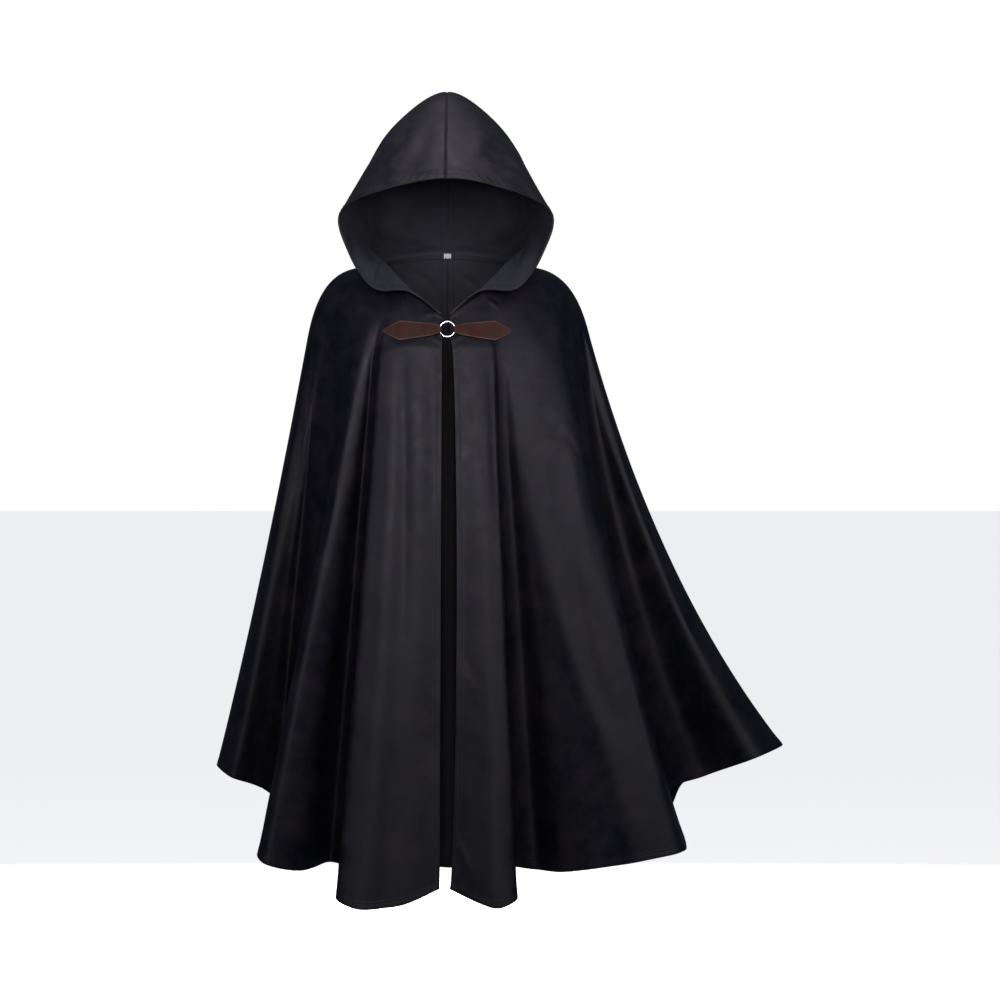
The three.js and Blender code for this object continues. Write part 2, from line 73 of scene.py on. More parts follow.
LEFT_FOLDS = np.array([
    (1.8, 9, -232, -1100, -4), (9, 60, -254, -1122, 0), (14, 94, -262, -1130, 0),
    (18, 125, -248, -1115, 0), (20.5, 106, -134, -1074, 0), (22.5, 158, -78, -1083, 0),
    (25.5, 208, -128, -1082, 0), (31, 312, -172, -1064, 0), (41, 368, -184, -1052, 4),
    (53, 411, -180, -1042, 8), (66, 424, -112, -1033, 22), (71, 398, -40, -950, 24),
    (76, 464, 24, -926, 32), (82, 550, -50, -888, 40), (91, 606, 20, -869, 54),
    (103, 556, 88, -888, 42), (115, 440, 112, -938, 24), (126, 400, 208, -1014, 14),
    (136, 300, 182, -1052, 6), (147, 238, 258, -1082, 0), (158, 158, 210, -1098, 0),
    (169, 78, 250, -1110, 0), (180, 0, 226, -1113, 0),
], float)


def smooth(places, values, at):
    """A smooth curve through values given at rising places: in each piece the cubic whose slopes at its
    ends are those of the line between the neighbours."""
    places, values, at = (np.asarray(a, float) for a in (places, values, at))
    last = len(places) - 1
    before, after = np.maximum(np.arange(last + 1) - 1, 0), np.minimum(np.arange(last + 1) + 1, last)
    shape = (-1,) + (1,) * (values.ndim - 1)
    slope = (values[after] - values[before]) / (places[after] - places[before]).reshape(shape)
    i = np.clip(np.searchsorted(places, at, side="left") - 1, 0, last - 1)
    span = (places[i + 1] - places[i]).reshape(shape)
    t = (at - places[i]).reshape(shape) / span
    rise = t * t * (3 - 2 * t)
    return (values[i] * (1 - rise) + values[i + 1] * rise
            + span * t * (1 - t) * ((1 - t) * slope[i] - t * slope[i + 1]))


def unit(v):
    """Each vector divided by its own length."""
    return v / np.maximum(np.linalg.norm(v, axis=-1, keepdims=True), 1e-9)


def shoulder_line(turn, side):
    """The oval where the cloth leaves the body: across is the sine and along the cosine of the turn."""
    along, across = np.cos(np.radians(turn)), np.sin(np.radians(np.minimum(turn, 180)))
    front = turn < 90
    level = np.abs(along) ** DROP_SHAPE
    drop = SHOULDER_DROP + (np.where(front, CHEST_DROP, BACK_DROP) - SHOULDER_DROP) * level
    x = side * SHOULDER_WIDTH / 2 * np.maximum(across, 0) ** SHOULDER_SHAPE
    y = np.where(front, -CHEST_DEPTH, BACK_DEPTH) * np.abs(along)
    return np.stack([x, y, -drop], -1)


def neck_line(turn, side):
    """The neck seam: half an ellipse behind, and a V in front whose drop grows with nearness to the middle."""
    across, along = np.maximum(np.sin(np.radians(turn)), 0), np.cos(np.radians(turn))
    back = turn >= 90
    out = np.where(back, across, across ** VEE_ACROSS)
    y = np.where(back, -NECK_BACK_Y * along, NECK_FRONT_Y * np.maximum(along, 0) ** VEE_ALONG)
    z = np.where(back, NECK_BACK_Z * along ** 2, NECK_FRONT_Z * np.maximum(1 - out, 0) ** VEE_DROP)
    return np.stack([side * NECK_WIDTH / 2 * out, y, z], -1)


class Folds:
    """One side's folds, read at a share of the hem: 0 at the front edge, 1 at the centre back."""

    def __init__(self, rows, side):
        run = np.linalg.norm(np.diff(rows[:, 1:4], axis=0), axis=1)
        self.length = run.sum()
        self.places = np.concatenate([[0], np.cumsum(run)]) / self.length
        self.rows, self.side = rows, side
        self.seam = self.places[list(rows[:, 0]).index(SIDE_SEAM_TURN)]

    def turn(self, share):
        return np.clip(smooth(self.places, self.rows[:, 0], share), 0, 180)

    def neck_turn(self, share):
        ease = NECK_EASE * np.sin(np.pi * share)
        return self.turn(share) * (1 - ease) + 180 * share * ease


def cloak_surface(folds, share, down):
    """The middle of the cloth on a grid of share by down. down is 0 at the neck seam; from there to 1 the
    cloth lies straight; to 2 it rounds over on a cubic curve; to 3 it falls on a quadratic to the hem."""
    corner = shoulder_line(folds.turn(share), folds.side)[:, None]
    neck = neck_line(folds.neck_turn(share), folds.side)[:, None]
    hem = smooth(folds.places, folds.rows[:, 1:4], share)[:, None]
    bow = smooth(folds.places, folds.rows[:, 4], share)[:, None, None]
    yoke = corner - neck
    length = np.linalg.norm(yoke, axis=-1, keepdims=True)
    around = np.minimum(YOKE_ROUND, YOKE_SHARE * length)
    start = corner - yoke / length * around
    outward = unit((hem - corner) * (1, 1, 0))
    middle = corner + (hem - corner) * FALL_MIDDLE - 2 * bow * outward
    first = FALL_START * around / np.linalg.norm(hem - corner, axis=-1, keepdims=True)

    def fall(t):
        upper, lower = corner + (middle - corner) * t, middle + (hem - middle) * t
        return upper + (lower - upper) * t

    end = fall(first)
    ease = ROUND_EASE * np.linalg.norm(end - start, axis=-1, keepdims=True)
    second, third = start + yoke / length * ease, end - unit(middle - corner) * ease
    down = down[None, :, None]
    t = np.clip(down - 1, 0, 1)
    rounding = ((1 - t) ** 3 * start + 3 * t * (1 - t) ** 2 * second
                + 3 * t * t * (1 - t) * third + t ** 3 * end)
    falling = fall(first + (1 - first) * np.clip(down - 2, 0, 1))
    lying = neck + (start - neck) * np.clip(down, 0, 1)
    return np.where(down <= 1, lying, np.where(down < 2, rounding, falling))


def normals(points, side):
    """Unit normals of a grid: the cross product of its two slopes, turned to the side asked for."""
    return side * unit(np.cross(np.gradient(points, axis=0), np.gradient(points, axis=1)))


ARCH_TURNS = (2, 26, 54, 84, 116, 148, 180)
ARCHES = np.array([
    ((62, -136, -60), (128, -112, -53), (173, -88, 12), (186, -98, 84), (101, -144, 121), (0, -160, 137)),
    ((80, -122, -38), (134, -84, -8), (172, -62, 40), (166, -62, 122), (89, -92, 188), (0, -104, 211)),
    ((112, -84, -2), (144, -48, 20), (166, -24, 76), (143, -18, 168), (74, -30, 243), (0, -36, 270)),
    ((130, -22, 20), (146, -4, 44), (156, 14, 102), (121, 30, 210), (63, 38, 280), (0, 40, 312)),
    ((122, 46, 30), (136, 58, 62), (138, 78, 124), (100, 108, 218), (50, 120, 268), (0, 124, 290)),
    ((80, 92, 36), (100, 112, 66), (100, 136, 116), (74, 164, 172), (38, 178, 200), (0, 182, 210)),
], float)


def hood_turn(back):
    """Where each arch of the hood leaves the neck seam, in degrees from the centre front."""
    return np.minimum(smooth(np.arange(len(ARCH_TURNS)) / len(ARCHES), ARCH_TURNS, back), 180)


def hood_surface(side, back, up):
    """The middle of one half of the hood on a grid of back by up. Each arch is a smooth curve from the neck
    seam through its stations to the crown; from arch to arch the stations move on smooth curves too."""
    places = np.arange(len(ARCHES) + 1) / len(ARCHES)
    nape = np.broadcast_to((0, NECK_BACK_Y, NECK_BACK_Z), ARCHES[:1].shape)
    stations = smooth(places, np.concatenate([ARCHES, nape]), back)
    brow = stations[:, -2:-1] * (-1, 1, 1)
    stations = np.concatenate([neck_line(hood_turn(back), 1)[:, None], stations, brow], axis=1)
    steps = np.arange(stations.shape[1]) / ARCHES.shape[1]
    points = smooth(steps, stations.transpose(1, 0, 2), up).transpose(1, 0, 2)
    return points * (side, 1, 1)


def neck_mitre(folds, turn):
    """Where the cloak meets the hood both walls are cut on the bisector of their normals, lengthened by
    one over the cosine of half their angle, as a mitre is."""
    fine = np.linspace(0, 1, 400)
    at = np.linspace(0, 180, 91)
    near = np.array([0, 0.02])
    on_cloak = normals(cloak_surface(folds, np.interp(at, folds.neck_turn(fine), fine), near), -folds.side)
    on_hood = normals(hood_surface(folds.side, np.interp(at, hood_turn(fine), fine), near), folds.side)
    both = on_cloak[:, 0] + on_hood[:, 0]
    both[-1, 0] = 0
    bisector = both * 2 / np.maximum((both ** 2).sum(-1, keepdims=True), 1)
    return np.stack([np.interp(turn, at, bisector[:, k]) for k in range(3)], -1)


# Creases of the cloak: the side they are seen from, width, height (a trough where it is below nought), and a path
# across and up that side. A side view's across is y.
CLOAK_CREASES = (
    ("front", 19, 3.6, ((-95, -160), (-92, -340), (-99, -531), (-109, -775), (-120, -1088))),
    ("front", 21, 3.2, ((-54, -158), (-47, -340), (-43, -531), (-45, -810))),
    ("front", 11, -2.9, ((-76, -185), (-72, -400), (-75, -660))),
    ("front", 11, -1.9, ((-25, -175), (-22, -330), (-27, -470))),
    ("front", 21, 3.2, ((51, -160), (58, -340), (63, -531), (66, -775))),
    ("front", 10, -3.2, ((80, -178), (86, -330), (93, -480))),
    ("front", 20, 3.7, ((99, -160), (134, -375), (201, -637), (288, -882), (341, -1127))),
    ("front", 18, -3.7, ((192, -390), (218, -532), (238, -632), (264, -751), (306, -840))),
    ("front", 18, 2.9, ((211, -287), (225, -392), (250, -532), (309, -689), (428, -1057))),
    ("front", 15, 2.4, ((-123, -190), (-169, -374), (-214, -568), (-264, -780), (-324, -1133))),
    ("front", 12, 2.9, ((-224, -62), (-244, -195), (-271, -391), (-315, -606), (-369, -892))),
    ("front", 15, -2.9, ((-202, -71), (-202, -231), (-207, -391), (-222, -540))),
    ("front", 11, 2.7, ((223, -101), (286, -300), (377, -534), (438, -672), (562, -866))),
    ("front", 15, -2.4, ((215, -150), (262, -330), (330, -540))),
    ("front", 4.5, 1.7, ((-80, -62), (-75, -75), (-71, -91))),
    ("front", 5, 2.1, ((-27, -64), (-17, -75), (-8, -85))),
    ("front", 4.5, 1.5, ((-34, -101), (-20, -98), (-6, -102))),
    ("front", 5, 2.0, ((20, -80), (29, -73), (43, -71))),
    ("front", 4.5, 1.7, ((75, -75), (85, -82), (94, -89))),
    ("front", 11, 1.3, ((-132, -118), (-172, -92), (-206, -58))),
    ("front", 12, 1.1, ((136, -110), (178, -88), (212, -48))),
    ("front", 6, -1.3, ((201, -311), (219, -323), (233, -343))),
    ("front", 11, 2.6, ((-112, -172), (-84, -162), (-48, -159), (-18, -163))),
    ("front", 11, 2.6, ((24, -163), (56, -159), (86, -161), (112, -172))),
    ("front", 6, 1.9, ((24, -1018), (35, -1046), (50, -1078))),
    ("front", 10, 1.1, ((-70, -905), (-52, -950), (-46, -1004))),
    ("front", 10, -1.1, ((30, -690), (44, -720), (62, -742))),
    ("back", 20, 3.2, ((-120, -130), (-150, -420), (-205, -760))),
    ("back", 22, 2.8, ((-40, -122), (-52, -400), (-70, -720))),
    ("back", 12, -2.9, ((-84, -150), (-100, -420), (-128, -640))),
    ("back", 21, 3.2, ((48, -126), (62, -420), (90, -780))),
    ("back", 14, -3.2, ((96, -150), (124, -430), (168, -700))),
    ("back", 19, 3.5, ((150, -128), (196, -420), (262, -740))),
    ("back", 15, 2.4, ((-200, -96), (-232, -380), (-268, -600))),
    ("back", 15, 2.6, ((214, -96), (268, -360), (330, -620))),
    ("back", 5, 1.7, ((-64, -10), (-40, -22), (-22, -44))),
    ("back", 5, 1.9, ((24, -14), (46, -30), (68, -54))),
    ("back", 11, 1.2, ((-128, -84), (-166, -62), (-202, -50))),
    ("back", 11, 1.0, ((132, -80), (170, -66), (204, -44))),
    ("back", 10, -1.2, ((-36, -820), (-22, -868), (-30, -930))),
    ("left", 16, 2.9, ((-34, -64), (-52, -300), (-84, -600))),
    ("left", 14, -2.4, ((6, -70), (2, -290), (-8, -520))),
    ("left", 16, 2.7, ((42, -60), (62, -300), (92, -640))),
    ("right", 16, 2.7, ((-30, -64), (-44, -320), (-66, -660))),
    ("right", 14, -2.6, ((8, -72), (10, -310), (4, -560))),
    ("right", 15, 2.6, ((46, -62), (66, -290), (98, -600))),
)
SIDES = {"front": (0, -1, 0), "back": (0, 1, 0), "left": (1, 0, 0), "right": (-1, 0, 0), "lapel": (0, 1, 0)}
SLACK, SLACK_ACROSS, SLACK_DOWN = 0.9, (23.0, 41.0), (31.0, 57.0)


def nearest_on(path, seen):
    """How far each point lies from a smooth curve through a path, and its place along it from 0 to 1: the
    nearest of the curve's points is found, and then the foot on the two straight pieces that meet there."""
    line = smooth(np.arange(len(path)), np.array(path, float), np.linspace(0, len(path) - 1, 41))
    last = len(line) - 1
    close = ((seen[..., None, :] - line) ** 2).sum(-1).argmin(-1)
    best, along = np.full(close.shape, np.inf), np.zeros(close.shape)
    for first in (np.maximum(close - 1, 0), np.minimum(close, last - 1)):
        piece = line[first + 1] - line[first]
        share = np.clip(((seen - line[first]) * piece).sum(-1) / (piece ** 2).sum(-1), 0, 1)
        gap = np.linalg.norm(seen - line[first] - share[..., None] * piece, axis=-1)
        along = np.where(gap < best, (first + share) / last, along)
        best = np.minimum(best, gap)
    return best, along


def creased(points, across, creases):
    """How far the cloth stands out at its creases. Each is its height times a bell curve of the distance from
    its path, seen from its own side; it fades at its ends and where the cloth turns away from that side."""
    height = np.zeros(points.shape[:2])
    for side, width, high, path in creases:
        toward = np.array(SIDES[side], float)
        gap, along = nearest_on(path, points[..., (1, 2) if toward[0] else (0, 2)])
        facing = np.clip((across @ toward - 0.1) * 3, 0, 1)
        if side == "lapel":
            facing = facing * (points[..., 1] < 0)
        fading = np.sin(np.pi * (0.04 + 0.92 * along)) ** 0.6
        height += high * fading * facing * np.exp(-(gap / width) ** 2)
    return height


def slack(points):
    """The slight unevenness of cloth that has hung: two products of sines of the place across and down."""
    x, y, z = points[..., 0] + points[..., 1], points[..., 1], points[..., 2]
    wide = np.sin(x / SLACK_ACROSS[1] + 0.7) * np.sin(z / SLACK_DOWN[1] + y / SLACK_ACROSS[1])
    close = np.sin(x / SLACK_ACROSS[0] + z / SLACK_DOWN[1] + 2) * np.sin(z / SLACK_DOWN[0])
    return SLACK * (wide + 0.5 * close)


def respaced(points, near, far, middle):
    """The grid with its first axis taken again at real distances: near and far are millimetres from its two
    ends, drawn in where a line is short, and middle gives shares of what lies between. A cubic through four
    of the old points gives each new one."""
    steps = np.linalg.norm(np.diff(points, axis=0), axis=-1)
    run = np.concatenate([np.zeros_like(steps[:1]), np.cumsum(steps, axis=0)])
    near, far = np.array(near, float)[:, None], np.array(far, float)[::-1, None]
    drawn = np.minimum(1, run[-1] / (3 * (near[-1] + far[0])))
    near, far = near * drawn, run[-1] - far * drawn
    wanted = np.concatenate([near, near[-1] + (far[0] - near[-1]) * middle[:, None], far])
    i = np.clip((run[None] < wanted[:, None]).sum(1) - 1, 0, len(points) - 2)
    lines = np.arange(points.shape[1])
    t = ((wanted - run[i, lines]) / np.maximum(steps[i, lines], 1e-9))[..., None]
    longer = np.concatenate([2 * points[:1] - points[1:2], points, 2 * points[-1:] - points[-2:-1]])
    a, b, c, d = (longer[i + step, lines] for step in range(4))
    return b + t * (c - a + t * (2 * a - 5 * b + 4 * c - d + t * (3 * b - a - 3 * c + d))) / 2


def distances(points):
    """For each point of a grid, how far along its line it lies from the first point and from the last."""
    run = np.cumsum(np.linalg.norm(np.diff(points, axis=0), axis=-1), axis=0)
    run = np.concatenate([np.zeros_like(run[:1]), run])
    return run, run[-1] - run


def step_down(distance, at, over):
    """1 nearer than at, 0 farther than at plus over, and a smooth step between them."""
    t = np.clip((distance - at) / over, 0, 1)
    return 1 - t * t * (3 - 2 * t)


def bell(distance, at, width):
    """A bell curve of the distance from a place."""
    return np.exp(-((distance - at) / width) ** 2)


# Distances in from a turned edge and from a seam at which the grids have a line, and the forms there.
TURNED, STITCHED = 12.0, 9.0
EDGE_LINES = (0, 0.7, 1.6, 3, 5, 7, 8, STITCHED, 10, 11, TURNED, 13.5, 16, 20)
SEAM_LINES = (0, 0.6, 1.4, 2.6, 4.5, 7, 10, 11.5, 12.5, 14, 18)
ALLOWANCE, ALLOWANCE_HIGH, SEAM_DIP, SEAM_WIDTH = 11.5, 0.9, 1.4, 2.0
PUCKER, PUCKER_LONG, PUCKER_SLOW = 0.55, 17.0, 61.0


def turned_edge(distance, along):
    """Outer and inner forms of an edge turned in and topstitched: a little thicker outside and more inside,
    a groove where the thread pulls, and puckers as an uneven sine along the edge."""
    thick = step_down(distance, TURNED - 1, 1.6)
    groove = bell(distance, STITCHED, 1.1)
    uneven = 0.6 + 0.4 * np.sin(along / PUCKER_SLOW + 1.3)
    wave = np.sin(2 * np.pi * along / PUCKER_LONG + 1.6 * np.sin(along / PUCKER_SLOW))
    puckers = PUCKER * uneven * wave * (bell(distance, 6, 5) + 0.8 * bell(distance, 14, 5))
    return 0.35 * thick - 0.4 * groove + puckers, 1.0 * thick - 0.3 * groove - puckers


def sewn_seam(distance):
    """Outer and inner forms beside a seam pressed open: a dip outside, and the allowance raised inside."""
    return -SEAM_DIP * bell(distance, 0, SEAM_WIDTH), ALLOWANCE_HIGH * (
        step_down(distance, ALLOWANCE, 0.9) - step_down(distance, 0.4, 1.4))


def nearest_neck_turn(points, side):
    """The turn on the neck seam that lies nearest each point."""
    turns = np.linspace(0, 180, 721)
    return turns[((points[:, None] - neck_line(turns, side)) ** 2).sum(-1).argmin(1)]


def grid_faces(columns, rows, first=0):
    """The four-cornered faces of a grid of points numbered down each column."""
    i, j = np.meshgrid(np.arange(columns - 1), np.arange(rows - 1), indexing="ij")
    a = first + i * rows + j
    return np.stack([a, a + rows, a + rows + 1, a + 1], -1).reshape(-1, 4)


def wall(outer, inner, bulge):
    """A closed wall between two grids of points. Along each edge the faces run from the outer grid to a line
    that stands out by bulge, and back to the inner grid, so that the edge is rounded."""
    columns, rows = outer.shape[:2]
    count = columns * rows
    index = np.arange(count).reshape(columns, rows)
    around = np.concatenate([index[:-1, 0], index[-1, :-1], index[:0:-1, -1], index[0, :0:-1]])
    middle = (outer + inner) / 2
    beyond = np.zeros_like(middle)
    beyond[0] += unit(middle[0] - middle[1]) * bulge[0]
    beyond[-1] += unit(middle[-1] - middle[-2]) * bulge[1]
    beyond[:, 0] += unit(middle[:, 0] - middle[:, 1]) * bulge[2]
    beyond[:, -1] += unit(middle[:, -1] - middle[:, -2]) * bulge[3]
    edge = (middle + beyond).reshape(-1, 3)[around]
    following = np.roll(around, -1)
    rim = 2 * count + np.arange(len(around))
    rim_next = np.roll(rim, -1)
    faces = np.concatenate([
        grid_faces(columns, rows),
        grid_faces(columns, rows, count)[:, ::-1],
        np.stack([around, rim, rim_next, following], -1),
        np.stack([rim, around + count, following + count, rim_next], -1),
    ])
    points = np.concatenate([outer.reshape(-1, 3), inner.reshape(-1, 3), edge])
    cells = (columns - 1) * (rows - 1)
    sides = np.zeros(len(faces))
    sides[cells:2 * cells] = 1
    return points, faces, sides


def wall_uv(across_at, down_at):
    """Where each point of a wall lies on the flat cloth, in metres."""
    flat = np.stack([across_at, down_at], -1).reshape(-1, 2) * MM
    index = np.arange(len(flat)).reshape(across_at.shape)
    around = np.concatenate([index[:-1, 0], index[-1, :-1], index[:0:-1, -1], index[0, :0:-1]])
    return np.concatenate([flat, flat, flat[around]])


def make_piece(name, walls, *materials):
    """One object from closed walls given as (points, faces, uv, sides), in millimetres, where sides gives
    each face's material. Points that fall together are merged, and the faces are turned outwards."""
    points, faces, uvs, sides, first = [], [], [], [], 0
    for p, f, uv, side in walls:
        points.append(p)
        faces.append(f + first)
        uvs.append(uv)
        sides.append(side)
        first += len(p)
    mesh = bpy.data.meshes.new(name)
    corners = np.concatenate(faces)
    mesh.from_pydata((np.concatenate(points) * MM).tolist(), [], corners.tolist())
    layer = mesh.uv_layers.new(name="cloth")
    layer.data.foreach_set("uv", np.concatenate(uvs)[corners.reshape(-1)].astype(np.float32).ravel())
    mesh.polygons.foreach_set("material_index", np.concatenate(sides).astype(np.int32))
    work = bmesh.new()
    work.from_mesh(mesh)
    bmesh.ops.remove_doubles(work, verts=work.verts, dist=2e-6)
    bmesh.ops.recalc_face_normals(work, faces=work.faces)
    work.to_mesh(mesh)
    work.free()
    mesh.shade_smooth()
    for material in materials:
        mesh.materials.append(material)
    piece = bpy.data.objects.new(name, mesh)
    bpy.context.scene.collection.objects.link(piece)
    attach(piece, "root")
    return piece


class Shade:
    """One socket of a material, with Python's operators on it: each adds its Math node."""

    def __init__(self, tree, socket):
        self.tree, self.socket = tree, socket

    def node(self, kind, settings=(), out=0, **sockets):
        """A node of any type: its settings first, then values or links by socket name."""
        made = self.tree.nodes.new(kind)
        for key, value in dict(settings).items():
            setattr(made, key, value)
        for key, value in sockets.items():
            name = int(key[1:]) if key[0] == "i" and key[1:].isdigit() else key.replace("_", " ")
            target = made.inputs[name]
            if isinstance(value, Shade):
                self.tree.links.new(value.socket, target)
            else:
                target.default_value = value
        return Shade(self.tree, made.outputs[out])

    def math(self, operation, other=None, third=None):
        sockets = {"i0": self}
        if other is not None:
            sockets["i1"] = other
        if third is not None:
            sockets["i2"] = third
        return self.node("ShaderNodeMath", {"operation": operation}, **sockets)

    def __add__(self, other):
        return self.math("ADD", other)

    def __sub__(self, other):
        return self.math("SUBTRACT", other)

    def __mul__(self, other):
        return self.math("MULTIPLY", other)

    def __rsub__(self, other):
        return self.node("ShaderNodeMath", {"operation": "SUBTRACT"}, i0=other, i1=self)

    __radd__, __rmul__ = __add__, __mul__

    def between(self, low, high):
        """0 below low, 1 above high, and a smooth step between them."""
        return self.node("ShaderNodeMapRange", {"interpolation_type": "SMOOTHSTEP"},
                         Value=self, From_Min=low, From_Max=high)


def new_material(name, **uniform):
    """A Principled material with the values that are the same all over set on its own sockets."""
    material = bpy.data.materials.new(name)
    material.use_nodes = True
    shader = material.node_tree.nodes["Principled BSDF"]
    for key, value in uniform.items():
        shader.inputs[key.replace("_", " ")].default_value = value
    return material, shader, Shade(material.node_tree, None)


def colour_between(shade, factor, low, high):
    """A colour mixed from low to high by a factor."""
    return shade.node("ShaderNodeMix", {"data_type": "RGBA"}, out=2, i0=factor, i6=low, i7=high)


def stitch_row(line, outward, pitch, length, thick):
    """Points, faces, uv and sides of a row of stitches along a line of points. Each stitch is a four-sided
    thread over part of the pitch; it stands out in a shallow arch, and its thinner ends dip into the cloth."""
    run = np.concatenate([[0], np.cumsum(np.linalg.norm(np.diff(line, axis=0), axis=-1))])
    starts = np.arange(0.3 * pitch, run[-1] - pitch, pitch)
    parts = np.array([0, 0.22, 0.78, 1])
    at = starts[:, None] + parts * length

    def along(values):
        return np.stack([np.interp(at, run, values[:, k]) for k in range(3)], -1)

    middle, up = along(line), unit(along(outward))
    onward = unit(np.gradient(middle, axis=1))
    aside = np.cross(onward, up)
    middle = middle + up * (thick * np.array([-0.9, 0.35, 0.35, -0.9]))[:, None]
    turns = np.radians([45, 135, 225, 315])
    ring = thick * np.array([0.4, 1, 1, 0.4])[:, None, None]
    around = np.cos(turns)[:, None] * aside[:, :, None] + np.sin(turns)[:, None] * up[:, :, None]
    points = (middle[:, :, None] + ring * around).reshape(-1, 3)
    k = np.arange(4)
    tube = np.concatenate([np.stack([r * 4 + k, r * 4 + (k + 1) % 4, r * 4 + 4 + (k + 1) % 4, r * 4 + 4 + k], -1)
                           for r in range(3)] + [[(3, 2, 1, 0), (12, 13, 14, 15)]])
    faces = (np.arange(len(starts))[:, None, None] * 16 + tube).reshape(-1, 4)
    uv = np.stack([np.repeat(at, 4), np.tile(k, at.size)], -1) * MM
    return points, faces, uv, np.zeros(len(faces))


def wool_cloth(name, dark, light, violet, rough):
    """Black wool coating: navy and violet in cloudy patches, and a short brushed nap that runs down the
    cloth. Where the nap lies flatter the cloth is smoother, which breaks up its shine."""
    material, shader, shade = new_material(name, Specular_IOR_Level=0.25)
    where = shade.node("ShaderNodeUVMap", {"uv_map": "cloth"})
    streaks = where.node("ShaderNodeMapping", Vector=where, Scale=(900.0, 260.0, 1.0))
    nap = shade.node("ShaderNodeTexNoise", Vector=streaks, Scale=1.0, Detail=3.0, Roughness=0.6)
    patches = shade.node("ShaderNodeTexNoise", Vector=where, Scale=8.0, Detail=4.0, Roughness=0.6)
    place = shade.node("ShaderNodeTexCoord", out=3)
    clouds = shade.node("ShaderNodeTexNoise", Vector=place, Scale=17.0, Detail=3.0, Roughness=0.55)
    mottle = shade.node("ShaderNodeTexNoise", Vector=place, Scale=46.0, Detail=2.0, Roughness=0.5)
    tone = (patches.between(0.32, 0.68) * 0.4 + mottle.between(0.36, 0.64) * 0.35
            + nap.between(0.25, 0.75) * 0.25)
    colour = colour_between(shade, tone, dark, light)
    colour = colour_between(shade, clouds.between(0.46, 0.7), colour, violet)
    links = material.node_tree.links
    links.new(colour.socket, shader.inputs["Base Color"])
    flat = patches * 0.2 + clouds * 0.16 + mottle * 0.26 + nap * 0.06
    links.new((flat + (rough - 0.34)).socket, shader.inputs["Roughness"])
    bump = shade.node("ShaderNodeBump", Strength=0.35, Distance=0.0006, Height=nap)
    links.new(bump.socket, shader.inputs["Normal"])
    return material


def sewing_thread(name, dark, light):
    """Twisted thread: fine slanting ridges round each stitch."""
    material, shader, shade = new_material(name, Specular_IOR_Level=0.4, Roughness=0.55)
    place = shade.node("ShaderNodeTexCoord", out=3)
    twist = shade.node("ShaderNodeTexNoise", Vector=place, Scale=1400.0, Detail=2.0)
    links = material.node_tree.links
    links.new(colour_between(shade, twist.between(0.3, 0.7), dark, light).socket, shader.inputs["Base Color"])
    bump = shade.node("ShaderNodeBump", Strength=0.5, Distance=0.0002, Height=twist)
    links.new(bump.socket, shader.inputs["Normal"])
    return material


wool = wool_cloth("wool", (0.0006, 0.0016, 0.0050, 1), (0.0074, 0.0078, 0.0106, 1),
                  (0.0112, 0.0084, 0.0126, 1), 0.50)
# The inner faces get a much lighter copy of the wool: painted light, standing in for the light that falls inside the
# cloak and hood.
wool_reverse_painted_light = wool_cloth("wool_reverse_painted_light", (0.020, 0.023, 0.028, 1), (0.029, 0.031, 0.036, 1),
                          (0.029, 0.028, 0.036, 1), 0.66)
black_thread = sewing_thread("black_thread", (0.004, 0.005, 0.008, 1), (0.020, 0.021, 0.026, 1))
STITCH = dict(pitch=4.4, length=3.3, thick=0.42)
right_folds, left_folds = Folds(RIGHT_FOLDS, -1), Folds(LEFT_FOLDS, 1)

# The left front edge swings out from the middle below the clasp, and comes back toward it at the hem.
SWING, SWING_TOP, SWING_LONG, SWING_REACH = 11.0, -150.0, 950.0, 70.0
ROW_SHARES = (np.arange(1, 141) / 141) ** 1.3


